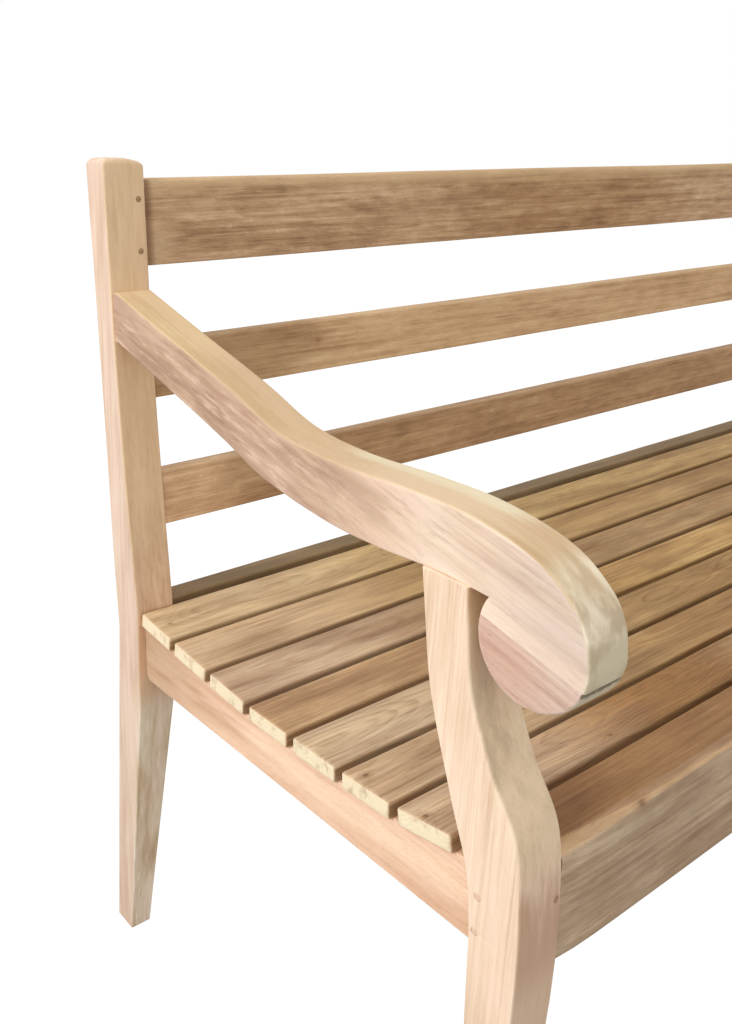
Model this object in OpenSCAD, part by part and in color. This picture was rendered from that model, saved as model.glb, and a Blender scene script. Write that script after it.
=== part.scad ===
// Three-seat garden bench: scroll arms, slatted dished seat, three-rail back.
// X runs along the bench, -Y is the sitter's front, +Z is up; z = 0 is the ground.
// Side outlines are drawn in (y, z) with y = 0 at the back edge of the seat.

/* [Overall] */
// Length over the outer faces of the legs
bench_length = 1500; // [1200:10:1800]
// Thickness of the legs along the bench
leg_thick = 46; // [42:1:54]
// Thickness of a leg at its foot, along the bench
foot_thick = 26.5; // [22:0.5:38]
// Height at which the inner faces of the legs begin to taper
taper_top = 325; // [300:1:350]

/* [Seat] */
// Height of the seat's back edge
seat_back_height = 440; // [436:0.5:444]
// Width of a seat slat, front to back
slat_width = 54.4; // [52:0.1:55]
// Thickness of a seat slat
slat_thick = 15.6; // [13:0.1:18]
// Gap between seat slats
slat_gap = 8.5; // [6:0.1:9]
// How far the slat ends stay inside the outer faces of the legs
slat_inset = 5; // [3:0.5:8]

/* [Rails] */
// Thickness of the side rails and seat bearers
side_rail_thick = 25; // [20:1:28]
// How far a side rail stays inside the outer face of its legs
side_rail_inset = 9.5; // [6:0.5:12]
// Height of the underside of the side rails
side_rail_bottom = 360; // [350:1:366]
// Thickness of the three back rails
back_rail_thick = 22; // [18:1:24]
// Depth of the front seat rail, front to back
front_rail_thick = 56; // [50:1:58]

/* [Arms] */
// Width of the arms along the bench
arm_width = 41; // [36:1:46]
// Radius of the rolled scroll at the front of an arm
scroll_radius = 42.7; // [40:0.1:43]

/* [Joinery] */
// Diameter of the dowel pins
pin_diameter = 6; // [5:0.5:7]
// Length of the tenons of the rails that run along the bench
rail_tenon = 28; // [24:1:32]
// Diameter of the seat screws' shanks
screw_diameter = 4; // [3.5:0.1:4.5]

/* [Hidden] */
$fn = 48;

// Leg outlines, [y, z], from the ground up; arm outlines from the back to the front
rear_leg_front = [[33, 0], [0.3, 325]];
post_front = [[0.3, 440], [5.5, 485], [19.5, 597], [33, 733], [43, 896]];
rear_leg_back = [[65, 0]];
post_back = [[41, 410], [49, 500], [55.5, 609], [67, 764], [77, 896]];
front_foot = [[-505, 0], [-478, 0]];
front_leg_front = [[-503, 360], [-500, 415], [-491.5, 471], [-464, 516], [-441, 573], [-430, 650]];
front_leg_back = [[-458.6, 375], [-451.3, 425], [-431, 477], [-407, 545], [-396, 603], [-388, 650]];
arm_top = [[50, 782], [-60, 748], [-160, 718], [-225, 695.5], [-290, 688.5], [-365, 690],
    [-425, 688], [-478, 676.5], [-509, 656], [-521.5, 636], [-525.3, 615.4], [-523.6, 604]];
arm_under = [[-446, 637], [-400, 639], [-345, 636.5], [-285, 638.5], [-208, 651],
    [-150, 671], [-74, 695], [50, 733]];
scroll_centre = [-482.6, 615.4];
// Glue line between an arm and its scroll block: a point on it and its rise towards the back
seam_point = [-482.6, 613];
seam_rise = 14.3;

// Rails of the back: centre of the front face [y, z], height, lean in degrees
top_rail_place = [[48.5, 840], 85.5, 3.6];
upper_slat_place = [[36.5, 692], 59, 5.5];
lower_slat_place = [[21, 555.5], 59, 6.8];
rear_rail_place = [[8, 407.5], 71, 0];
rear_rail_thick = 26;

front_rail_face = -500;
front_rail_bottom = 352;
front_rail_ridge = 454;
front_rail_rear_top = 445;
front_rail_nose = 8;
// Angle at which the nose's round meets the sloping top
front_rail_nose_start = 80;
side_rail_front_y = -470;
side_rail_corner = 9;
bearer_bottom = 370;

// Slope of each slat from back to front, in degrees; negative falls towards the front
slat_slopes = [-6, -5, -4, 0.5, 1.5, 3.5, 10];
seat_back_y = -1.5;

// Tenons: [thickness, length, height] or single sizes
tenon_thick = 12;
tenon_shoulder = 10;
// How far a tenon's block reaches back into its own piece
tenon_root = 7;
front_tenon_thick = 16;
front_tenon_setback = 8;
front_tenon_height = 66;
side_tenon = [10, 12, 44];
side_tenon_rear_length = 12.5;
side_tenon_z = 372;
front_tenon_lift = 14;
bearer_tenon = [12, 16, 34];
bearer_tenon_z = 378;
arm_tenon = [14, 20, 26];
arm_tenon_z = 753;
leg_tenon = [18, 20, 24];
leg_tenon_y = -409;
leg_tenon_z = 639;
mortise_relief = 1;
crown = 6;
// Longer than any piece is thick or tall
ample = 1000;

// Pins: the depth of their ends below the wood, and their places as x, y, z or [y, z]
pin_recess = 0.4;
// How far a cut runs on past the face that it opens in
hole_margin = 3;
// Wood left between a blind pin and the face behind it
pin_stop = 12;
top_rail_pin_x = 38;
top_rail_pin_z = [813, 863];
top_pin_end = 64;
blind_pin_x = 30;
// How far behind a rail's front face a pin from the back ends
blind_pin_start = 3;
rear_rail_pin_z = [393, 422];
rear_rail_pin_end = 40.5;
front_rail_pin_x = 40;
front_rail_pin_z = 415;
front_pin_end = -470;
arm_pin_y = 44;
leg_pin_z = 652;
side_pins_front = [[-464.5, 381], [-464.5, 411]];
side_pins_rear = [[6, 380], [6, 402]];
dowel = [8, 30];
dowel_offset = 22;

// Seat screws
screw_length = 52;
screw_grip = 11;
screw_head = 8;
screw_head_height = 3;
screw_well = 9;
well_depth = 40;

half = bench_length / 2;
leg_middle = leg_thick / 2;
slat_count = len(slat_slopes);
y_centre = (scroll_centre[0] - scroll_radius + post_back[4][0]) / 2;
bearer_x = bench_length / 6;
front_rail_back = front_rail_face + front_rail_thick;

// ---- Curves ----

function spline_point(p, i, t) = let (
    m = (p[i + 1] - p[max(i - 1, 0)]) / 2,
    n = (p[min(i + 2, len(p) - 1)] - p[i]) / 2
) (2 * t^3 - 3 * t^2 + 1) * p[i] + (t^3 - 2 * t^2 + t) * m
    + (3 * t^2 - 2 * t^3) * p[i + 1] + (t^3 - t^2) * n;
// Smooth curve through the points p, with n steps between neighbours
function smooth(p, n = 5) = concat(
    [for (i = [0 : len(p) - 2]) for (k = [0 : n - 1]) spline_point(p, i, k / n)],
    [p[len(p) - 1]]);
function reversed(p) = [for (i = [len(p) - 1 : -1 : 0]) p[i]];
function arc(centre, r, from, to, n = 5) =
    [for (k = [0 : n]) let (a = from + (to - from) * k / n) centre + r * [cos(a), sin(a)]];
// y of an outline at height z
function y_at(p, z) = let (i = [for (k = [0 : len(p) - 2]) if (p[k][1] <= z && z < p[k + 1][1]) k][0])
    p[i][0] + (p[i + 1][0] - p[i][0]) * (z - p[i][1]) / (p[i + 1][1] - p[i][1]);

post_front_line = smooth(post_front);
post_back_line = smooth(post_back);
front_leg_line = concat([front_foot[0]], smooth(front_leg_front));
front_leg_back_line = concat([front_foot[1]], smooth(front_leg_back));
rear_leg_outline = concat(
    rear_leg_front, post_front_line,
    arc(post_front[4] + [crown, 0], crown, 180, 90), arc(post_back[4] - [crown, 0], crown, 90, 0),
    reversed(post_back_line), rear_leg_back);
front_leg_outline = concat(front_leg_line, reversed(front_leg_back_line));
arm_outline = concat(smooth(arm_top), smooth(arm_under));

// ---- Dished seat ----

function along(length, slope) = length * [-cos(slope), sin(slope)];
function slat_start(i) = i == 0 ? [seat_back_y, seat_back_height]
    : slat_start(i - 1) + along(slat_width, slat_slopes[i - 1])
        + along(slat_gap, (slat_slopes[i - 1] + slat_slopes[i]) / 2);
function slat_below(i, length) = slat_start(i) + along(length, slat_slopes[i])
    - slat_thick * [sin(slat_slopes[i]), cos(slat_slopes[i])];
// Top edge of the side rails and bearers: it touches the underside of every slat
bearing_line = [for (i = [0 : slat_count - 1]) for (length = [0, slat_width]) slat_below(i, length)];
bearing_front = bearing_line[2 * slat_count - 1];
bearing_back = bearing_line[0];

// ---- Placing ----

// Stands a (y, z) outline up as a board that fills x = from .. to
module board(from, to) {
    translate([from, 0, 0]) rotate([90, 0, 90]) linear_extrude(to - from) children();
}
// Moves the seat's datum so that the bench is centred front to back
module placed() {
    translate([0, -y_centre, 0]) children();
}
// Draws a left-hand piece, which starts at x = 0, at the left or right end
module at_end(side) {
    placed() mirror([side == "right" ? 1 : 0, 0, 0]) translate([-half, 0, 0]) children();
}
module at_both_ends() {
    for (side = ["left", "right"]) at_end(side) children();
}
module rod_x(from, to, point, d) {
    translate([from, point[0], point[1]]) rotate([0, 90, 0]) cylinder(h = to - from, d = d);
}
module rod_y(x, from, to, z, d) {
    translate([x, from, z]) rotate([-90, 0, 0]) cylinder(h = to - from, d = d);
}

// ---- Tenons; extra lengthens a tenon to cut its mortise ----

module leaning(place) {
    translate([0, place[0][0], place[0][1]]) rotate([-place[2], 0, 0]) children();
}
module back_rail_tenon(place, thick, extra = 0) {
    leaning(place)
        translate([leg_thick - rail_tenon - extra, (thick - tenon_thick) / 2, tenon_shoulder - place[1] / 2])
            cube([rail_tenon + extra + tenon_root, tenon_thick, place[1] - 2 * tenon_shoulder]);
}
module front_rail_tenon(extra = 0) {
    translate([leg_thick - rail_tenon - extra, front_rail_face + front_tenon_setback,
        front_rail_bottom + front_tenon_lift])
        cube([rail_tenon + extra + tenon_root, front_tenon_thick, front_tenon_height]);
}
module side_rail_tenons(extra = 0) {
    x = side_rail_inset + (side_rail_thick - side_tenon[0]) / 2;
    front_y = y_at(front_leg_back_line, side_tenon_z);
    translate([x, front_y - side_tenon[1] - extra, side_tenon_z])
        cube([side_tenon[0], side_tenon[1] + extra + tenon_root, side_tenon[2]]);
    translate([x, -tenon_root, side_tenon_z])
        cube([side_tenon[0], tenon_root + side_tenon_rear_length + extra, side_tenon[2]]);
}
module arm_end_tenon(extra = 0) {
    y = y_at(post_front_line, arm_tenon_z);
    translate([leg_middle - arm_tenon[0] / 2, y - tenon_root, arm_tenon_z - arm_tenon[2] / 2])
        cube([arm_tenon[0], tenon_root + arm_tenon[1] + extra, arm_tenon[2]]);
}
module leg_top_tenon(extra = 0) {
    translate([leg_middle - leg_tenon[0] / 2, leg_tenon_y - leg_tenon[1] / 2, leg_tenon_z - tenon_root])
        cube([leg_tenon[0], leg_tenon[1], tenon_root + leg_tenon[2] + extra]);
}
module bearer_tenons(extra = 0) {
    for (x = [-bearer_x, bearer_x])
        translate([x - bearer_tenon[0] / 2, front_rail_back - bearer_tenon[1] - extra, bearer_tenon_z])
            cube([bearer_tenon[0], rear_rail_place[0][0] - front_rail_back + 2 * (bearer_tenon[1] + extra),
                bearer_tenon[2]]);
}

// ---- Pins and screws; out lengthens a pin past the face that it shows in, to cut its hole ----

module top_rail_pin_pair(out = 0) {
    for (z = top_rail_pin_z) {
        face = y_at(post_front_line, z) + pin_recess;
        rod_y(top_rail_pin_x, face - out, top_pin_end, z, pin_diameter);
    }
}
module back_slat_pin_pair(out = 0) {
    for (place = [upper_slat_place, lower_slat_place]) {
        start = place[0][0] + blind_pin_start;
        face = y_at(post_back_line, place[0][1]) - pin_recess;
        rod_y(blind_pin_x, start, face + out, place[0][1], pin_diameter);
    }
}
module rear_rail_pin_pair(out = 0) {
    start = rear_rail_place[0][0] + blind_pin_start;
    for (z = rear_rail_pin_z) rod_y(blind_pin_x, start, rear_rail_pin_end + out, z, pin_diameter);
}
module front_rail_pin(out = 0) {
    face = y_at(front_leg_line, front_rail_pin_z) + pin_recess;
    rod_y(front_rail_pin_x, face - out, front_pin_end, front_rail_pin_z, pin_diameter);
}
module side_rail_pin_set(out = 0) {
    for (point = side_pins_front) rod_x(-out, leg_thick - pin_stop, point, pin_diameter);
    for (point = side_pins_rear) rod_x(pin_stop, leg_thick + out, point, pin_diameter);
}
module arm_pin_pair(out = 0) {
    rod_x(pin_stop, leg_thick + out, [arm_pin_y, arm_tenon_z], pin_diameter);
    rod_x(pin_stop, leg_middle + arm_width / 2 + out, [leg_tenon_y, leg_pin_z], pin_diameter);
}
module leg_pin_holes() {
    top_rail_pin_pair(hole_margin);
    back_slat_pin_pair(hole_margin);
    rear_rail_pin_pair(hole_margin);
    front_rail_pin(hole_margin);
    side_rail_pin_set(hole_margin);
    arm_pin_pair(hole_margin);
}
module scroll_dowel_pair() {
    translate([leg_middle, seam_point[0], seam_point[1]]) rotate([seam_rise, 0, 0])
        for (y = [-dowel_offset, dowel_offset])
            translate([0, y, -dowel[1] / 2]) cylinder(h = dowel[1], d = dowel[0]);
}
// One row of screws, front to back, up into every slat; the well lets the head sit deep in a rail
module screw_row(x, well = false) {
    for (i = [0 : slat_count - 1]) {
        spot = slat_below(i, slat_width / 2);
        translate([x, spot[0], spot[1] + screw_grip - screw_length]) {
            cylinder(h = screw_length, d = screw_diameter);
            cylinder(h = screw_head_height, d1 = screw_head, d2 = screw_diameter);
            if (well) translate([0, 0, -well_depth]) cylinder(h = well_depth, d = screw_well);
        }
    }
}
module all_screws(well = false) {
    side_x = half - side_rail_inset - side_rail_thick / 2;
    for (x = [-side_x, -bearer_x, bearer_x, side_x]) screw_row(x, well);
}

// ---- Pieces of the left-hand end, from x = 0 inwards ----

module leg_blank(height) {
    intersection() {
        board(0, leg_thick) children();
        translate([0, ample, 0]) rotate([90, 0, 0]) linear_extrude(2 * ample)
            polygon(concat([[0, 0], [foot_thick, 0], [leg_thick, taper_top]],
                arc([leg_thick - crown, height - crown], crown, 0, 90),
                arc([crown, height - crown], crown, 90, 180)));
    }
}
module rear_leg() {
    difference() {
        leg_blank(post_front[4][1] + crown) polygon(rear_leg_outline);
        back_rail_tenon(top_rail_place, back_rail_thick, mortise_relief);
        back_rail_tenon(upper_slat_place, back_rail_thick, mortise_relief);
        back_rail_tenon(lower_slat_place, back_rail_thick, mortise_relief);
        back_rail_tenon(rear_rail_place, rear_rail_thick, mortise_relief);
        side_rail_tenons(mortise_relief);
        arm_end_tenon(mortise_relief);
        leg_pin_holes();
    }
}
module front_leg() {
    difference() {
        union() {
            leg_blank(front_leg_front[5][1] + 2 * crown) difference() {
                polygon(front_leg_outline);
                polygon(arm_outline);
            }
            leg_top_tenon();
        }
        front_rail_tenon(mortise_relief);
        side_rail_tenons(mortise_relief);
        leg_pin_holes();
    }
}
// Slab below the glue line
module below_seam() {
    translate([0, seam_point[0], seam_point[1]]) rotate([seam_rise, 0, 0])
        translate([-hole_margin, -2 * scroll_radius, -2 * scroll_radius])
            cube([leg_thick + 2 * hole_margin, 4 * scroll_radius, 2 * scroll_radius]);
}
module scroll_disc() {
    rod_x(leg_middle - arm_width / 2, leg_middle + arm_width / 2, scroll_centre, 2 * scroll_radius);
}
module arm_scroll() {
    difference() {
        intersection() {
            scroll_disc();
            below_seam();
        }
        scroll_dowel_pair();
    }
}
module armrest() {
    difference() {
        union() {
            board(leg_middle - arm_width / 2, leg_middle + arm_width / 2) difference() {
                polygon(arm_outline);
                polygon(rear_leg_outline);
            }
            difference() {
                scroll_disc();
                below_seam();
            }
            arm_end_tenon();
        }
        leg_top_tenon(mortise_relief);
        leg_pin_holes();
        scroll_dowel_pair();
    }
}
module side_rail() {
    difference() {
        union() {
            board(side_rail_inset, side_rail_inset + side_rail_thick) difference() {
                polygon(concat(
                    [[side_rail_front_y, side_rail_bottom]],
                    arc([rear_leg_front[1][0] - side_rail_corner, side_rail_bottom + side_rail_corner],
                        side_rail_corner, -90, 0),
                    [[rear_leg_front[1][0], bearing_back[1]]], bearing_line,
                    [[side_rail_front_y, bearing_front[1]]]));
                polygon(front_leg_outline);
            }
            side_rail_tenons();
        }
        leg_pin_holes();
        translate([half, 0, 0]) all_screws(true);
    }
}

// ---- Pieces that run along the bench, centred on x = 0 ----

module to_both_ends() {
    for (m = [0, 1]) mirror([m, 0, 0]) translate([-half, 0, 0]) children();
}
module back_rail(place, thick) {
    placed() difference() {
        union() {
            leaning(place) translate([leg_thick - half, 0, -place[1] / 2])
                cube([bench_length - 2 * leg_thick, thick, place[1]]);
            to_both_ends() back_rail_tenon(place, thick);
        }
        to_both_ends() leg_pin_holes();
        bearer_tenons(mortise_relief);
    }
}
module front_rail() {
    placed() difference() {
        union() {
            board(leg_thick - half, half - leg_thick) polygon(concat(
                [[front_rail_back, front_rail_bottom], [front_rail_back, front_rail_rear_top]],
                arc([front_rail_face + front_rail_nose, front_rail_ridge - front_rail_nose],
                    front_rail_nose, front_rail_nose_start, 180),
                [[front_rail_face, front_rail_bottom]]));
            to_both_ends() front_rail_tenon();
        }
        to_both_ends() leg_pin_holes();
        bearer_tenons(mortise_relief);
    }
}
module seat_bearer(side) {
    x = side * bearer_x;
    placed() difference() {
        union() {
            board(x - side_rail_thick / 2, x + side_rail_thick / 2) polygon(concat(
                [[front_rail_back, bearer_bottom], [rear_rail_place[0][0], bearer_bottom],
                    [rear_rail_place[0][0], bearing_back[1]]],
                bearing_line, [[front_rail_back, bearing_front[1]]]));
            intersection() {
                bearer_tenons();
                translate([x - side_rail_thick, -ample, -ample])
                    cube([2 * side_rail_thick, 2 * ample, 2 * ample]);
            }
        }
        all_screws(true);
    }
}
module seat_slat(i) {
    placed() difference() {
        board(slat_inset - half, half - slat_inset) polygon([
            slat_start(i), slat_start(i) + along(slat_width, slat_slopes[i]),
            slat_below(i, slat_width), slat_below(i, 0)]);
        all_screws();
    }
}

// ---- Named nodes ----

module rear_leg_left() { color("burlywood") at_end("left") rear_leg(); }
module rear_leg_right() { color("burlywood") at_end("right") rear_leg(); }
module front_leg_left() { color("burlywood") at_end("left") front_leg(); }
module front_leg_right() { color("burlywood") at_end("right") front_leg(); }
module armrest_left() { color("wheat") at_end("left") armrest(); }
module armrest_right() { color("wheat") at_end("right") armrest(); }
module arm_scroll_left() { color("bisque") at_end("left") arm_scroll(); }
module arm_scroll_right() { color("bisque") at_end("right") arm_scroll(); }
module top_rail() { color("tan") back_rail(top_rail_place, back_rail_thick); }
module back_slat_upper() { color("tan") back_rail(upper_slat_place, back_rail_thick); }
module back_slat_lower() { color("tan") back_rail(lower_slat_place, back_rail_thick); }
module rear_seat_rail() { color("peru") back_rail(rear_rail_place, rear_rail_thick); }
module front_seat_rail() { color("peru") front_rail(); }
module side_rail_left() { color("burlywood") at_end("left") side_rail(); }
module side_rail_right() { color("burlywood") at_end("right") side_rail(); }
module seat_bearer_left() { color("peru") seat_bearer(-1); }
module seat_bearer_right() { color("peru") seat_bearer(1); }
module top_rail_pins() { color("saddlebrown") at_both_ends() top_rail_pin_pair(); }
module back_slat_pins() { color("saddlebrown") at_both_ends() back_slat_pin_pair(); }
module rear_seat_rail_pins() { color("saddlebrown") at_both_ends() rear_rail_pin_pair(); }
module front_rail_pins() { color("saddlebrown") at_both_ends() front_rail_pin(); }
module side_rail_pins() { color("saddlebrown") at_both_ends() side_rail_pin_set(); }
module arm_pins() { color("saddlebrown") at_both_ends() arm_pin_pair(); }
module scroll_dowels() { color("saddlebrown") at_both_ends() scroll_dowel_pair(); }
module seat_screws() { color("silver") placed() all_screws(); }

rear_leg_left();
rear_leg_right();
front_leg_left();
front_leg_right();
armrest_left();
armrest_right();
arm_scroll_left();
arm_scroll_right();
top_rail();
back_slat_upper();
back_slat_lower();
rear_seat_rail();
front_seat_rail();
side_rail_left();
side_rail_right();
seat_bearer_left();
seat_bearer_right();
for (i = [0 : slat_count - 1])
    color("burlywood") seat_slat(i);
top_rail_pins();
back_slat_pins();
rear_seat_rail_pins();
front_rail_pins();
side_rail_pins();
arm_pins();
scroll_dowels();
seat_screws();
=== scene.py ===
"""Looks for a teak garden bench with scroll arms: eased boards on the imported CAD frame, and one camera."""

import math

import bmesh
import bpy
from mathutils import Matrix, Vector, noise


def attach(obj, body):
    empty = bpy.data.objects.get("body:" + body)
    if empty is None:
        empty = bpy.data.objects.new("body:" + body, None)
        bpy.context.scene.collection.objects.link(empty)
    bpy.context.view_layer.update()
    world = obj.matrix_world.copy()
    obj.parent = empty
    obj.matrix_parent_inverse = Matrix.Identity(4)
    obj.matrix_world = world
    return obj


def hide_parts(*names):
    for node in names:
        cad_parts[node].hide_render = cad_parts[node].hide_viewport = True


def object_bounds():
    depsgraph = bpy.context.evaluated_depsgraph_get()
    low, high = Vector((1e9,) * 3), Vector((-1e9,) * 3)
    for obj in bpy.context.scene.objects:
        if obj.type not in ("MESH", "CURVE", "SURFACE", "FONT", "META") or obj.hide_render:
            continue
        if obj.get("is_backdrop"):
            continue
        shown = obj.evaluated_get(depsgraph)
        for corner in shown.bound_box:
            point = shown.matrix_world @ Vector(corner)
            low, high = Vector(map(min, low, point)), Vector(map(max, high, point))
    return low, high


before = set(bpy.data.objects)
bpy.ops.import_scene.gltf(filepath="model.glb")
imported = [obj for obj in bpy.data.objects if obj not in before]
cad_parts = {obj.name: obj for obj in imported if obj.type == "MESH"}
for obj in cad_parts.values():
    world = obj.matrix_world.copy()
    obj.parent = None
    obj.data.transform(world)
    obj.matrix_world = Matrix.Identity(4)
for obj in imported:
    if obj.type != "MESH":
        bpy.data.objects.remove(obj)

low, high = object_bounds()

# ---------------------------------------------------------------------------------------------
# Sizes, in millimetres. X runs from the outer face of the left legs, Y from the seat's back edge
# (minus is the sitter's front) and Z from the ground, as in the CAD source's outlines.
# ---------------------------------------------------------------------------------------------
LENGTH = round((high.x - low.x) * 1000, 3)
LEG = 46.0
FOOT = 26.5
TAPER_TOP = 325.0
CROWN = 6.0
DOME, DOME_START = 5.0, 17.0  # how far a post's worn top falls to its inner edge, and from which X
CROWN_SHARE = 0.8
POST_TOP = 902.0
POST_BACK = 77.0
LEG_TOP_FRONT, LEG_TOP_BACK = 638.6, 639.3  # where the front leg's edges meet the arm
ARM_END_TOP, ARM_END_LOW = (774.6, 774.9), (726, 726.2)  # heights on the post's face and of the arm's corner
SCROLL = (-482.6, 615.4)
SCROLL_R = 42.7
SEAM = (-482.6, 613.0)
SEAM_RISE = math.radians(14.3)
ARM = (2.5, 43.5)
RAIL = (9.5, 34.5)
SIDE_RAIL_BOTTOM, SIDE_RAIL_CORNER, SIDE_RAIL_END, SIDE_RAIL_LIP = 360.0, 9.0, (-470.0, -461.0), 0.5
BEARER_X = (LENGTH / 3, 2 * LENGTH / 3)
BEARER_T, BEARER_BOTTOM = 25.0, 370.0
FRONT_RAIL = dict(face=-500.0, back=-444.0, bottom=352.0, rear_top=445.0, ridge=454.0)
REAR_RAIL = dict(face=8.0, back=34.0, bottom=372.0, top=443.0)
BACK_T = 22.0
SLAT_W, SLAT_T, SLAT_GAP, SLAT_INSET = 54.4, 15.6, 8.5, 5.0
SLOPES = (-6, -5, -4, 0.5, 1.5, 3.5, 10)
SEAT_BACK = (-1.5, 440.0)

PIN_RADIUS, PIN_DOME, HOLE_RADIUS, HOLE_DEPTH = 3.0, 0.25, 3.08, 6.0
RECESS, SIDE_RECESS = 0.4, 0.2  # how far a pin's end stands under the face

# Radii of the eased edges, and how far apart a board's rings of vertices stand
LEG_EASE, ARM_EASE, RAIL_EASE, BUTT_EASE, FOOT_EDGE = 2.4, 2.2, 2.0, 0.3, 1.5
LEG_STEP, ARM_STEP, RAIL_STEP, LONG_STEP = 11, 10, 12, 25

POST_FRONT = [(0.3, 440), (5.5, 485), (19.5, 597), (33, 733), (43, 896)]
POST_REAR = [(41, 410), (49, 500), (55.5, 609), (67, 764), (77, 896)]
FRONT_FOOT = [(-505, 0), (-478, 0)]
FRONT_LEG_FRONT = [(-503, 360), (-500, 415), (-491.5, 471), (-464, 516), (-441, 573), (-430, 650)]
FRONT_LEG_BACK = [(-458.6, 375), (-451.3, 425), (-431, 477), (-407, 545), (-396, 603), (-388, 650)]
ARM_TOP = [(50, 782), (-60, 748), (-160, 718), (-225, 695.5), (-290, 688.5), (-365, 690),
           (-425, 688), (-478, 676.5), (-509, 656), (-521.5, 636), (-525.3, 615.4)]
ARM_UNDER = [(-446, 637), (-400, 639), (-345, 636.5), (-285, 638.5), (-208, 651),
             (-150, 671), (-74, 695), (50, 733)]

Y_ZERO = POST_BACK - high.y * 1000


def place(x, y, z):
    """A point in millimetres, measured as above, in the row frame."""
    return Vector((low.x + x / 1000, high.y + (y - POST_BACK) / 1000, low.z + z / 1000))


# ---- Outlines ----


def spline(points, steps=8):
    """The smooth curve through the points that the CAD source draws, more finely."""
    p = [Vector(q) for q in points]
    out = []
    for i in range(len(p) - 1):
        m = (p[i + 1] - p[max(i - 1, 0)]) / 2
        n = (p[min(i + 2, len(p) - 1)] - p[i]) / 2
        for k in range(steps):
            t = k / steps
            out.append((2 * t**3 - 3 * t**2 + 1) * p[i] + (t**3 - 2 * t**2 + t) * m
                       + (3 * t**2 - 2 * t**3) * p[i + 1] + (t**3 - t**2) * n)
    return [tuple(q) for q in out] + [tuple(p[-1])]


def arc(centre, radius, start, end, steps=12):
    """Points on a circle, with angles in degrees."""
    out = []
    for k in range(steps + 1):
        a = math.radians(start + (end - start) * k / steps)
        out.append((centre[0] + radius * math.cos(a), centre[1] + radius * math.sin(a)))
    return out


def y_at(line, z):
    """How far back an upward line is at height z."""
    for (y0, z0), (y1, z1) in zip(line, line[1:]):
        if z0 <= z < z1:
            return y0 + (y1 - y0) * (z - z0) / (z1 - z0)


def cut_below(line, z):
    """The part of an upward line below height z, ended at that height."""
    return [q for q in line if q[1] < z] + [(y_at(line, z), z)]


def with_height(line, z):
    """The upward line with one more point, at height z."""
    return [q for q in line if q[1] < z - 3] + [(y_at(line, z), z)] + [q for q in line if q[1] > z + 3]


HELD = None  # ends a corner whose edge stays in place when its outline shrinks
SUPPORT = 2.2  # mm of face beside a rounded edge over which its edge paleness, partly wear and partly painted highlight, fades out
CORNER_STEPS = 4
RIM_WEAR_AND_HIGHLIGHT = 0.45  # edge paleness where an edge's round begins, partly wear and partly painted highlight; it is 1 in the middle


def round_wear_and_highlight(turn):
    """Paleness over a rounded edge, partly wear and partly a painted highlight; turn runs from 0 to pi
    across it.
    """
    return RIM_WEAR_AND_HIGHLIGHT + (1 - RIM_WEAR_AND_HIGHLIGHT) * math.sin(turn)


def rounded(corners, shrink=0.0):
    """A closed outline from corners (y, z), (y, z, radius) or (y, z, 0, paleness), anticlockwise, first
    moved inwards by shrink. Corners with a radius are rounded. Gives (y, z, paleness), the edge's wear and
    painted highlight."""
    corners = inset(corners, shrink) if shrink else corners
    out = []
    n = len(corners)
    for i, c in enumerate(corners):
        here = Vector(c[:2])
        if len(c) == 2 or not c[2]:
            out.append((*here, c[3] if len(c) > 3 and c[3] is not HELD else 0.0))
            continue
        before, after = Vector(corners[i - 1][:2]) - here, Vector(corners[(i + 1) % n][:2]) - here
        half = before.angle(after) / 2
        radius = max(c[2] - shrink, 0.25)
        a, b = before.normalized(), after.normalized()
        reach = min(radius / math.tan(half), 0.4 * before.length, 0.4 * after.length)
        for side in (a, b):
            if side is b:
                for k in range(CORNER_STEPS + 1):
                    t = k / CORNER_STEPS
                    spot = here + a * reach * (1 - t) ** 2 + b * reach * t**2
                    out.append((*spot, round_wear_and_highlight(math.pi * t)))
            room = (before if side is a else after).length * 0.48
            out.append((*(here + side * min(reach + SUPPORT, max(room, reach + 0.1))), 0.0))
    return out


def inset(corners, amount):
    """The corners moved inwards by amount. An edge whose first corner ends in HELD stays where it is."""
    n = len(corners)
    out = []
    for i, c in enumerate(corners):
        a, b = corners[i - 1], corners[(i + 1) % n]
        e0, e1 = Vector((c[0] - a[0], c[1] - a[1])), Vector((b[0] - c[0], b[1] - c[1]))
        n0, n1 = Vector((-e0.y, e0.x)).normalized(), Vector((-e1.y, e1.x)).normalized()
        d0, d1 = (0.0 if q[-1] is HELD else amount for q in (a, c))
        cross = n0.x * n1.y - n0.y * n1.x
        if abs(cross) > 0.2:
            move = Vector((d0 * n1.y - d1 * n0.y, d1 * n0.x - d0 * n1.x)) / cross
        else:
            move = (n0 + n1) * (max(d0, d1) / 2)
        out.append((c[0] + move.x, c[1] + move.y, *c[2:]))
    return out


def anticlockwise(outline):
    """Turns a clockwise outline round; a held edge stays the same edge."""
    if sum(a[0] * b[1] - b[0] * a[1] for a, b in zip(outline, outline[1:] + outline[:1])) > 0:
        return outline
    out = []
    for i in range(len(outline) - 1, -1, -1):
        bare = outline[i][:-1] if outline[i][-1] is HELD else outline[i]
        if outline[i - 1][-1] is HELD:
            bare = (*bare, 0, HELD) if len(bare) == 2 else (*bare, HELD)
        out.append(bare)
    return out


# ---- Meshes ----

SHARP_ANGLE = math.radians(34)


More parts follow.
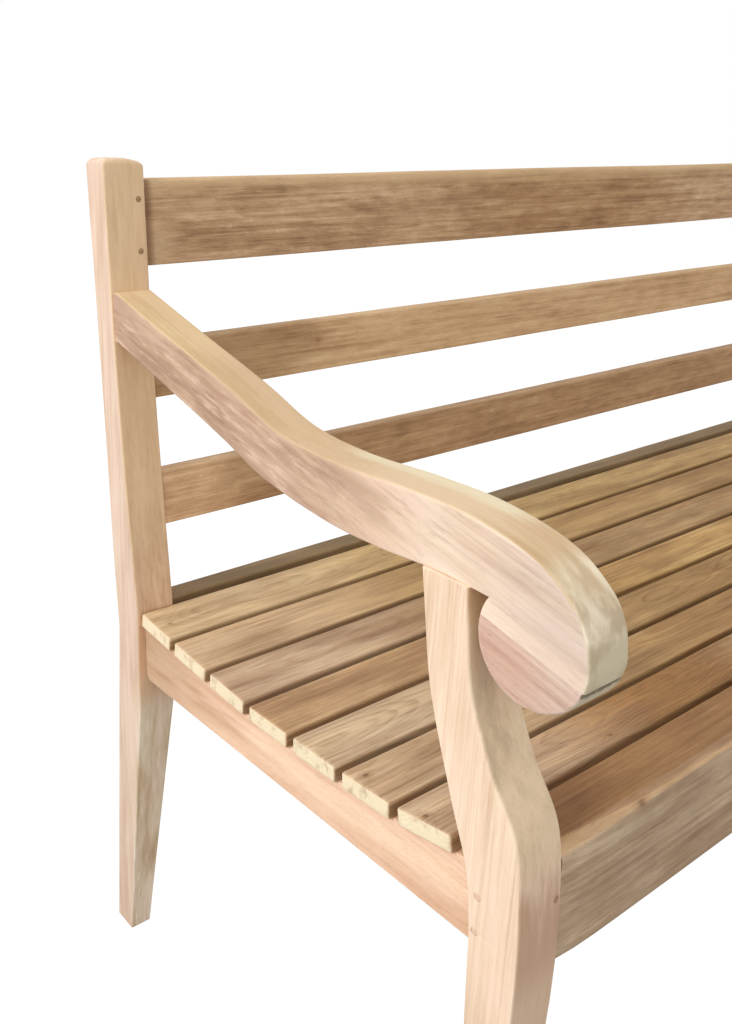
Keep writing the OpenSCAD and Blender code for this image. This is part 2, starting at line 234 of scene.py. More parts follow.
def prism(name, outline, x0, x1, ease, step=60.0, warp=None, mirrored=False):
    """A board: an outline in (y, z) drawn out from x0 to x1, with its end rims eased to a radius.
    outline is a list, or a function of x where the section changes. Each vertex keeps its edge paleness,
    partly wear and partly painted highlight."""
    section = outline if callable(outline) else lambda x: outline
    rings = []
    for k in range(-1, CORNER_STEPS + 1):
        t = math.radians(90 * max(k, 0) / CORNER_STEPS)
        in_by = ease * (1 - math.sin(t)) + (SUPPORT if k < 0 else 0)
        wear_and_highlight = 0.0 if k < 0 else round_wear_and_highlight(2 * t)
        rings.append((ease * (1 - math.cos(t)), in_by, wear_and_highlight))
    first, last = x0 + ease + SUPPORT, x1 - ease - SUPPORT
    count = max(1, round((last - first) / step))
    stations = [(x0 + d, i, w) for d, i, w in rings]
    stations += [(first + (last - first) * k / count, 0.0, 0.0) for k in range(count + 1)]
    stations += [(x1 - d, i, w) for d, i, w in reversed(rings)]
    mesh = bmesh.new()
    # each vertex's edge paleness: partly wear, partly a painted highlight
    layer = mesh.verts.layers.float.new("wear_and_highlight")
    loops = []
    for x, in_by, wear_and_highlight in stations:
        ring = rounded(section(x), in_by)
        loop = []
        for y, z, own in ring:
            p = warp(x, y, z) if warp else (x, y, z)
            if mirrored:
                p = (LENGTH - p[0], p[1], p[2])
            v = mesh.verts.new(place(*p))
            v[layer] = max(wear_and_highlight, own)
            loop.append(v)
        loops.append(loop)
    n = len(loops[0])
    for a, b in zip(loops, loops[1:]):
        for i in range(n):
            j = (i + 1) % n
            mesh.faces.new((a[i], a[j], b[j], b[i]))
    caps = [mesh.faces.new(loops[0][::-1]), mesh.faces.new(loops[-1])]
    mesh.normal_update()
    bmesh.ops.triangulate(mesh, faces=caps)
    return finish_mesh(name, mesh)


def finish_mesh(name, mesh):
    """Turns a bmesh into a smooth-shaded object of the scene."""
    bmesh.ops.recalc_face_normals(mesh, faces=mesh.faces)
    data = bpy.data.meshes.new(name)
    mesh.to_mesh(data)
    mesh.free()
    obj = bpy.data.objects.new(name, data)
    bpy.context.scene.collection.objects.link(obj)
    shade(obj)
    return obj


def shade(obj):
    obj.data.shade_smooth()
    obj.data.set_sharp_from_angle(angle=SHARP_ANGLE)
    if "flat_faces" not in obj.modifiers:
        even = obj.modifiers.new("flat_faces", "WEIGHTED_NORMAL")
        even.keep_sharp = True


def rod(mesh, start, end, radius, dome=0.0, sides=20):
    """Adds a round rod between two points to a bmesh; a dome raises its end face's middle."""
    start, end = Vector(start), Vector(end)
    axis = (end - start).normalized()
    side = axis.orthogonal().normalized()
    other = axis.cross(side)
    # each ring's centre and radius; the domed end falls away from its middle to its rim
    rings = [(start, radius), (end - axis * dome * 0.6, radius)]
    if dome:
        rings += [(end + axis * dome * 0.6, radius * 0.86), (end + axis * dome, radius * 0.45)]
    loops = []
    for centre, r in rings:
        ring = []
        for i in range(sides):
            a = 2 * math.pi * i / sides
            ring.append(mesh.verts.new(centre + (side * math.cos(a) + other * math.sin(a)) * r))
        loops.append(ring)
    for a, b in zip(loops, loops[1:]):
        for i in range(sides):
            j = (i + 1) % sides
            mesh.faces.new((a[i], a[j], b[j], b[i]))
    mesh.faces.new(loops[0][::-1])
    mesh.faces.new(loops[-1])


def rods(name, ends, radius, dome=0.0):
    """One object of several rods, each given by its two ends in millimetres."""
    mesh = bmesh.new()
    for start, end in ends:
        rod(mesh, place(*start), place(*end), radius / 1000, dome / 1000)
    return finish_mesh(name, mesh)


def carve(obj, ends):
    """Bores a round hole in obj for each pin, from its inner end to as far out of the face as it is deep."""
    cutter = rods("cutter", [(a, tuple(2 * q - p for p, q in zip(a, b))) for a, b in ends], HOLE_RADIUS)
    cut = obj.modifiers.new("bore", "BOOLEAN")
    cut.object, cut.operation, cut.solver = cutter, "DIFFERENCE", "MANIFOLD"
    obj.modifiers.move(len(obj.modifiers) - 1, 0)
    obj.modifiers["flat_faces"].show_viewport = False
    bpy.context.view_layer.update()
    evaluated = obj.evaluated_get(bpy.context.evaluated_depsgraph_get())
    data = bpy.data.meshes.new_from_object(evaluated)
    obj.modifiers.remove(cut)
    obj.modifiers["flat_faces"].show_viewport = True
    obj.data = data
    obj.data.name = obj.name
    bpy.data.objects.remove(cutter)
    shade(obj)


def wander(a, b, size, seed):
    """A slow unevenness of a face, up to about size: the mark of a hand-finished board."""
    return size * noise.noise(Vector((a, b, seed * 7.31)))


# ---- Section outlines of the pieces ----

post_line, back_line = spline(POST_FRONT), spline(POST_REAR)
post_face, post_round = POST_FRONT[0][0], POST_TOP - CROWN
rear_leg_outline = anticlockwise(
    [(33, 0, FOOT_EDGE), (post_face, TAPER_TOP), (post_face, TAPER_TOP + 24)] + post_line
    + arc((43 + CROWN, post_round), CROWN, 180, 90, 4)[1:]
    + arc((POST_BACK - CROWN, post_round), CROWN, 90, 0, 4)
    + back_line[::-1][1:] + [(46, TAPER_TOP), (65, 0, FOOT_EDGE)])


def leg_warp(seed):
    """Tapers a leg's inner face below the seat and wears the top of a post down."""
    def warp(x, y, z):
        x = x * (LEG if z >= TAPER_TOP else FOOT + (LEG - FOOT) * z / TAPER_TOP) / LEG
        if z > POST_TOP - CROWN:
            pull = CROWN - math.sqrt(max(0.0, CROWN**2 - (z - POST_TOP + CROWN) ** 2))
            x = LEG / 2 + (x - LEG / 2) * (1 - CROWN_SHARE * pull / (LEG / 2))
        if z > POST_TOP - 2 * CROWN:
            across = (x - DOME_START) / (LEG - DOME_START)
            z -= DOME * across**2 * (z - POST_TOP + 2 * CROWN) / (2 * CROWN)
        return (x, y + wander(z / 90, x / 60, 0.5, seed), z)
    return warp


front_line = FRONT_FOOT[:1] + spline(FRONT_LEG_FRONT)
rear_line = FRONT_FOOT[1:] + spline(FRONT_LEG_BACK)
under_line = spline(ARM_UNDER)
front_top, rear_top = cut_below(front_line, LEG_TOP_FRONT), cut_below(rear_line, LEG_TOP_BACK)
front_leg_outline = anticlockwise(
    [(*FRONT_FOOT[0], FOOT_EDGE)] + with_height(front_top, TAPER_TOP)[1:-1] + [(*front_top[-1], 0, HELD)]
    + with_height(rear_top, TAPER_TOP)[:0:-1] + [(*FRONT_FOOT[1], FOOT_EDGE)])


def seam_ends():
    """Angles, in degrees, at which the glue line meets the scroll's circle, front then back."""
    d = Vector((math.cos(SEAM_RISE), math.sin(SEAM_RISE)))
    off = Vector((SEAM[0] - SCROLL[0], SEAM[1] - SCROLL[1]))
    along = off.dot(d)
    reach = math.sqrt(along**2 - off.length_squared + SCROLL_R**2)
    ends = []
    for t in (-along - reach, -along + reach):
        p = off + d * t
        ends.append(math.degrees(math.atan2(p.y, p.x)) % 360)
    return ends


seam_front, seam_back = seam_ends()
notch = math.degrees(math.atan2(ARM_UNDER[0][1] - SCROLL[1], ARM_UNDER[0][0] - SCROLL[0]))


def ahead_of_post(line):
    """The points of a line that are in front of the post."""
    return [q for q in line if q[0] < y_at(post_line, min(q[1], 890))]


nose_line = arc(SCROLL, SCROLL_R, 180, seam_front, 4)
arm_outline = anticlockwise(
    [(y_at(post_line, ARM_END_TOP[0]) + 1, ARM_END_TOP[1])] + ahead_of_post(spline(ARM_TOP))
    + nose_line[1:-1] + [(*nose_line[-1], 0, HELD)] + arc(SCROLL, SCROLL_R, seam_back, notch, 5)[:-1]
    + ahead_of_post(under_line) + [(y_at(post_line, ARM_END_LOW[0]) + 1, ARM_END_LOW[1], 0, HELD)])
scroll_line = arc(SCROLL, SCROLL_R, seam_front, seam_back + 360, 40)
scroll_outline = anticlockwise(scroll_line[:-1] + [(*scroll_line[-1], 0, HELD)])


def leaning(spot, lean, corners):
    """Corners given as (back, up, radius) from a rail's front face centre, tipped back by lean degrees."""
    c, s = math.cos(math.radians(lean)), math.sin(math.radians(lean))
    return [(spot[0] + a * c + b * s, spot[1] - a * s + b * c, r) for a, b, r in corners]


def along(length, slope):
    """A step of that length towards the front, falling or rising by slope degrees."""
    return Vector((-length * math.cos(math.radians(slope)), length * math.sin(math.radians(slope))))


def slat_starts():
    """The back top edge of every slat, (y, z)."""
    spot = Vector(SEAT_BACK)
    starts = [spot]
    for a, b in zip(SLOPES, SLOPES[1:]):
        spot = spot + along(SLAT_W, a) + along(SLAT_GAP, (a + b) / 2)
        starts.append(spot)
    return starts


def slat_corner(i, length, down):
    """A point of a slat's section: so far from its back edge, so far below its top."""
    slope = math.radians(SLOPES[i])
    return STARTS[i] + along(length, SLOPES[i]) - down * Vector((math.sin(slope), math.cos(slope)))


STARTS = slat_starts()
bearing = [tuple(slat_corner(i, length, SLAT_T)) for i in range(len(SLOPES)) for length in (0, SLAT_W)]

NOSE_STEPS = 6
BEVEL_REACH = 110.0  # how far from a leg the bevel starts
FACE_REACH, FACE_STEP = 35.0, 2.5  # from how far off a leg the face is worn back, and how much at it


def front_rail_section(x):
    """The front rail's nose is a worn round that turns into a wider flat bevel beside each leg."""
    from_leg = min(x, LENGTH - x) - LEG
    near = max(0.0, 1 - from_leg / BEVEL_REACH)
    drop, back = 5 + 7 * near**2, 5 + 4 * near
    face = FRONT_RAIL["face"] + FACE_STEP * max(0.0, 1 - from_leg / FACE_REACH)
    bevel = 0.7 * min(1.0, 2 * near)
    nose = []
    for k in range(NOSE_STEPS + 1):
        t = math.radians(80 + 100 * k / NOSE_STEPS)
        round_y, round_z = math.cos(t), math.sin(t)
        flat_y, flat_z = -k / NOSE_STEPS, 1 - k / NOSE_STEPS
        y = face + back * (1 + round_y + (flat_y - round_y) * bevel)
        z = FRONT_RAIL["ridge"] - drop * (1 - round_z - (flat_z - round_z) * bevel)
        # the round of the nose gets strong edge paleness: a painted highlight along the ridge, with some
        # wear
        nose.append((y, z, 0, 0.8 if 0 < k < NOSE_STEPS else 0.3))
    bottom, rear = FRONT_RAIL["bottom"], FRONT_RAIL["back"]
    behind = [(rear, bottom, 2.5), (rear, FRONT_RAIL["rear_top"], 2.5)]
    return anticlockwise(behind + nose + [(face, bottom, 2.5)])


# ---- Materials ----


def linear(rgb):
    """Linear colour from an sRGB one in 0 to 255."""
    out = []
    for c in rgb:
        c = c / 255
        out.append(c / 12.92 if c <= 0.04045 else ((c + 0.055) / 1.055) ** 2.4)
    return (*out, 1.0)


class Value:
    """A number in a node tree that can be added, multiplied and so on."""

    def __init__(self, net, socket):
        self.net, self.socket = net, socket

    def __add__(self, other):
        return self.net.math("ADD", self, other)

    def __sub__(self, other):
        return self.net.math("SUBTRACT", self, other)

    def __rsub__(self, other):
        return self.net.math("SUBTRACT", other, self)

    def __mul__(self, other):
        return self.net.math("MULTIPLY", self, other)

    def __truediv__(self, other):
        return self.net.math("DIVIDE", self, other)

    __radd__, __rmul__ = __add__, __mul__


class Net:
    """Builds one material's nodes."""

    def __init__(self, name):
        self.material = bpy.data.materials.new(name)
        self.material.use_nodes = True
        self.nodes, self.links = self.material.node_tree.nodes, self.material.node_tree.links
        self.nodes.clear()

    def put(self, node, socket, value):
        """Sets a socket to a number, vector or colour, or links a value to it."""
        target = node.inputs[socket]
        if isinstance(value, Value):
            self.links.new(value.socket, target)
        else:
            target.default_value = value

    def math(self, operation, a, b=0.0):
        node = self.nodes.new("ShaderNodeMath")
        node.operation = operation
        self.put(node, 0, a)
        self.put(node, 1, b)
        return Value(self, node.outputs[0])

    def dot(self, vector, axis):
        node = self.nodes.new("ShaderNodeVectorMath")
        node.operation = "DOT_PRODUCT"
        self.put(node, 0, vector)
        self.put(node, 1, tuple(axis))
        return Value(self, node.outputs["Value"])

    def combine(self, x, y, z):
        node = self.nodes.new("ShaderNodeCombineXYZ")
        for i, value in enumerate((x, y, z)):
            self.put(node, i, value)
        return Value(self, node.outputs[0])

    def noise(self, x, y, z, detail=2.0, roughness=0.5):
        node = self.nodes.new("ShaderNodeTexNoise")
        node.noise_dimensions = "3D"
        self.put(node, "Vector", self.combine(x, y, z))
        self.put(node, "Scale", 1.0)
        self.put(node, "Detail", detail)
        self.put(node, "Roughness", roughness)
        return Value(self, node.outputs[0])

    def step(self, value, start, full):
        """Rises smoothly from 0 at start to 1 at full, which may be the lower of the two."""
        node = self.nodes.new("ShaderNodeMapRange")
        node.interpolation_type = "SMOOTHSTEP"
        for i, v in enumerate((value, start, full, 0.0, 1.0)):
            self.put(node, i, v)
        return Value(self, node.outputs[0])

    def mix(self, amount, a, b, blend="MIX"):
        node = self.nodes.new("ShaderNodeMix")
        node.data_type, node.blend_type, node.clamp_factor = "RGBA", blend, True
        self.put(node, 0, amount)
        self.put(node, 6, a)
        self.put(node, 7, b)
        return Value(self, node.outputs[2])

    def ramp(self, amount, stops):
        node = self.nodes.new("ShaderNodeValToRGB")
        elements = node.color_ramp.elements
        while len(elements) < len(stops):
            elements.new(0.5)
        for element, (position, colour) in zip(elements, stops):
            element.position, element.color = position, colour
        self.put(node, 0, amount)
        return Value(self, node.outputs[0])

    def position(self):
        node = self.nodes.new("ShaderNodeTexCoord")
        return Value(self, node.outputs["Object"]), Value(self, node.outputs["Normal"])

    # the edge paleness of a mesh: partly wear, partly a painted highlight
    def wear_and_highlight(self):
        node = self.nodes.new("ShaderNodeAttribute")
        node.attribute_name = "wear_and_highlight"
        return Value(self, node.outputs["Fac"])

    def shader(self, colour, roughness, height, relief, specular):
        shader = self.nodes.new("ShaderNodeBsdfPrincipled")
        out = self.nodes.new("ShaderNodeOutputMaterial")
        bump = self.nodes.new("ShaderNodeBump")
        self.put(bump, "Distance", relief)
        self.put(bump, "Strength", 1.0)
        self.put(bump, "Height", height)
        self.links.new(bump.outputs[0], shader.inputs["Normal"])
        self.put(shader, "Base Color", colour)
        self.put(shader, "Roughness", roughness)
        self.put(shader, "Specular IOR Level", specular)
        self.links.new(shader.outputs[0], out.inputs[0])
        return self.material


KNOT_HALO, KNOT_HEART = (152, 106, 68), (98, 62, 38)
GRAIN_X = (Vector((1, 0, 0)), Vector((0, 1, 0)), Vector((0, 0, 1)))
GRAIN_Z = (Vector((0, 0, 1)), Vector((1, 0, 0)), Vector((0, 1, 0)))


def tilted(degrees):
    """Grain in the side plane, falling towards the front by that many degrees; across is X."""
    a = math.radians(degrees)
    g = Vector((0, -math.cos(a), -math.sin(a)))
    return g, Vector((1, 0, 0)), g.cross(Vector((1, 0, 0)))


def zone(colour, amount, *limits, blend="MIX"):
    """A stretch of a board with a colour of its own, or with painted light or shade. Each limit is (place,
    start, full[, raggedness]): a place is "x", "y" or "z" in millimetres, "v" across the grain, "front",
    "out" or "up", how far a face
    looks that way, or a pattern: "rough" for torn grain, "cloud" for stains."""
    return colour, amount, limits, blend


def shade_zone(factor, *limits):
    """A stretch whose colour is multiplied by the red, green and blue factors."""
    return zone(factor, 1.0, *limits, blend="MULTIPLY")


def wood(name, centre, grain, tones, pith=(20.0, -70.0), rings=5.0, ring=0.25, streak=0.5,
         blotch=0.5, tint=None, bow=8.0, seed=0.0, knots=(), flecks=0.0, chatter=0.0, pore=1.0,
         end_tone=None, rough=0.58, zones=(), mirrored=False):
    """Solid wood cut from a log: growth rings round a pith line beside the board, fibres along it and
    end grain across it, all in three dimensions, so faces, edges and ends agree.
    tones are dark, middle and light sRGB colours. rings is how wide a year is in mm and ring how dark its
    late wood is; pith is the pith line's place across the grain and bow how far it wanders.
    tint is (colour, amount) for long cloudy streaks. knots are (x, y, z, size) in mm."""
    net = Net(name)
    point, normal = net.position()
    home = place(*centre)
    g, u, v = (net.dot(point, axis * 1000) - axis.dot(home) * 1000 for axis in grain)
    s = seed * 13.7
    # the board's place in the log wanders slowly along the grain
    drift = net.noise(g / 260, s, 0.5, 1.0)
    sway = net.noise(g / 150, s + 9.2, 3.5, 1.0)
    ru = u - pith[0] + (drift - 0.5) * bow
    rv = v - pith[1] + (sway - 0.5) * (bow * 2.2)
    for x, y, z, size in knots:
        away = knot_distance(net, g, u, v, grain, home, (x, y, z), 1.7)
        rv = rv + net.step(away, size * 3.6, 0.0) * (size * 1.6)
    warp = net.noise(g / 130, u / 26, v / 26 + s, 3.0)
    radius = net.math("SQRT", ru * ru + rv * rv) + (warp - 0.5) * (rings * 1.1)
    years = radius / rings + net.noise(radius / (rings * 4), s, 7.7, 1.0) * 2.4
    part = net.math("FRACT", years)
    late = net.step(part, 0.3, 0.85) - net.step(part, 0.88, 1.0)
    strength = net.noise(net.math("FLOOR", years) * 3.17, s, 1.1, 0.0) * 1.5
    late = late * strength
    fibre = net.noise(g / 60, u / 1.8, v / 1.8 + s, 3.0, 0.65)
    band = net.noise(g / 240, u / 4.6, v / 4.6 + s, 3.0, 0.55)
    patch = net.noise(g / 110 + s, u / 30, v / 30, 3.0, 0.55)
    pores = net.step(net.noise(g / 7.5, u / 0.62, v / 0.62 + s, 1.0), 0.6, 0.74) * pore
    tone = 0.5 + (fibre - 0.5) * (1.3 * streak) + (band - 0.5) * (1.5 * streak)
    tone = tone + (patch - 0.5) * (1.5 * blotch)
    tone = tone - late * ring - pores * (0.12 * streak) + 0.35 * ring
    if chatter:
        mark = net.noise(g / 30, u / 9, v / 9 + s, 4.0, 0.6)
        tone = tone + (mark - 0.5) * (2.4 * chatter)
        plane_mark = net.step(net.noise(g / 7 + s, u / 9, v / 9, 2.0, 0.5), 0.55, 0.75)
        tone = tone + plane_mark * net.step(mark, 0.5, 0.66) * (0.6 * chatter)
    dark, middle, light = (linear(t) for t in tones)
    colour = net.ramp(tone, [(0.08, dark), (0.5, middle), (0.92, light)])
    if tint:
        cloud = net.step(net.noise(g / 150 + s * 2, u / 15, v / 15, 3.0, 0.6), 0.42, 0.66)
        colour = net.mix(cloud * tint[1], colour, linear(tint[0]))
    height = (fibre - 0.5) * 0.5 - pores * 0.35 - late * (1.4 * ring)
    if flecks:
        torn = net.step(net.noise(g / 17, u / 3.6, v / 3.6 + s, 4.0, 0.7), 0.46, 0.7)
        torn = torn * net.step(net.noise(g / 60, u / 30, v / 30 + s, 1.0), 0.36, 0.56) * flecks
        colour = net.mix(torn, colour, linear(tuple(c * 0.86 for c in tones[0])))
        height = height - torn * 0.8
    places = {"x": net.dot(point, (1000, 0, 0)) - low.x * 1000, "y": net.dot(point, (0, 1000, 0)) + Y_ZERO,
              "z": net.dot(point, (0, 0, 1000)) - low.z * 1000, "front": net.dot(normal, (0, -1, 0)),
              "out": net.dot(normal, (-1, 0, 0)), "up": net.dot(normal, (0, 0, 1)), "v": v}
    if mirrored:
        places["x"], places["out"] = LENGTH - places["x"], -1.0 * places["out"]
    # end grain shows where a face looks along the grain
    facing = net.math("ABSOLUTE", net.dot(normal, grain[0]))
    end = net.step(facing, 0.72, 0.92)
    pale = linear(end_tone or tones[2])
    dots = net.step(net.noise(g / 3, u / 0.9, v / 0.9 + s, 1.0), 0.56, 0.7)
    smudge = net.step(net.noise(g / 40, u / 11, v / 16 + s, 3.0, 0.6), 0.5, 0.74)
    end_shade = late * 0.09 + dots * 0.03 + smudge * 0.5
    end_colour = net.mix(end_shade, pale, linear(tones[0]))
    colour = net.mix(end, colour, end_colour)
    # rounded edges are paler: partly handling wear, partly a painted highlight
    wear_and_highlight = net.wear_and_highlight() * (0.55 + (patch - 0.5) * 1.2)
    colour = net.mix(wear_and_highlight * 0.46, colour, linear(tones[2]))
    patterns = {limit[0] for _, _, limits, _ in zones for limit in limits}
    if "rough" in patterns:
        places["rough"] = net.noise(g / 34, u / 6, v / 6 + s, 4.0, 0.6)
    if "cloud" in patterns:
        places["cloud"] = net.noise(g / 120, u / 22, v / 22 + s, 3.0, 0.5)
    for shade_colour, amount, limits, blend in zones:
        share = amount
        for name_of, start, full, *ragged in limits:
            spot = places[name_of] + (patch + band - 1.0) * ragged[0] if ragged else places[name_of]
            share = net.step(spot, start, full) * share
        shade_colour = (*shade_colour, 1.0) if blend == "MULTIPLY" else linear(shade_colour)
        colour = net.mix(share, colour, shade_colour, blend)
    for x, y, z, size in knots:
        away = knot_distance(net, g, u, v, grain, home, (x, y, z), 1.5)
        away = away + (fibre - 0.5) * size * 1.2 + (warp - 0.5) * size * 1.6
        heart = net.step(away, size * 1.25, size * 0.1)
        halo = net.step(away, size * 3.2, size * 0.6)
        colour = net.mix(halo * 0.4, colour, linear(KNOT_HALO))
        colour = net.mix(heart * 0.75, colour, linear(KNOT_HEART))
        height = height - heart * 0.8
    gloss = rough + (fibre - 0.5) * 0.16 + (patch - 0.5) * 0.1
    return net.shader(colour, gloss, height, 0.0005, 0.35)


def knot_distance(net, g, u, v, grain, home, spot, stretch):
    """Distance in mm from a knot, drawn out along the grain."""
    off = place(*spot) - home
    cg, cu, cv = (axis.dot(off) * 1000 for axis in grain)
    a, b, c = (g - cg) / stretch, u - cu, v - cv
    return net.math("SQRT", a * a + b * b + c * c)


def steel(name):
    """Bare screw steel with fine scuffs."""
    net = Net(name)
    point, _ = net.position()
    x, y, z = (net.dot(point, axis) for axis in ((1000, 0, 0), (0, 1000, 0), (0, 0, 1000)))
    scuff = net.noise(x / 0.5, y / 0.5, z / 2, 3.0)
    colour = net.ramp(scuff, [(0.3, (0.36, 0.35, 0.33, 1)), (0.7, (0.56, 0.55, 0.53, 1))])
    material = net.shader(colour, 0.3 + scuff * 0.25, scuff, 0.0001, 0.5)
    net.nodes["Principled BSDF"].inputs["Metallic"].default_value = 1.0
    return material


# ---- The bench ----

LEG_TONES = ((192, 154, 126), (220, 186, 157), (238, 212, 186))
ARM_TONES = ((186, 146, 122), (222, 188, 162), (240, 216, 188))
RAIL_TONES = ((140, 102, 72), (178, 141, 106), (208, 174, 138))
# limits that keep a zone to the faces that look one way
FRONT_FACE = ("front", 0.35, 0.75)
OUTER_FACE = ("out", 0.5, 0.8)
TOP_FACE = ("up", 0.45, 0.8)


def piece(obj, material, slot, *nodes):
    """Gives a piece its look and says which body it rides on and which nodes it replaces."""
    obj.data.materials.clear()
    obj.data.materials.append(material)
    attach(obj, "root")
    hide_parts(*nodes)
    return obj


def mirror_x(pins):
    """The same pins at the other end of the bench."""
    return [tuple((LENGTH - p[0], *p[1:]) for p in ends) for ends in pins]


def face_pins(x, spots, inward):
    """Pins, each an inner and an outer end, in a face that looks along Y, at (y, z) spots on that face;
    inward is 1 or -1, the way into the wood."""
    return [((x, y + inward * HOLE_DEPTH, z), (x, y + inward * RECESS, z)) for y, z in spots]


def on_line(line, *heights):
    """The spots (y, z) of a line at these heights."""
    return [(y_at(line, z), z) for z in heights]


top_pins = face_pins(38, on_line(post_line, 813, 863), 1)
slat_pins = face_pins(30, on_line(back_line, 692, 555.5), -1)
rear_pins = face_pins(30, [(40.5, 393), (40.5, 422)], -1)
front_pins = face_pins(40, on_line(front_line, 415), 1)
side_pins = [((HOLE_DEPTH, -464.5, z), (SIDE_RECESS, -464.5, z)) for z in (381, 411)]
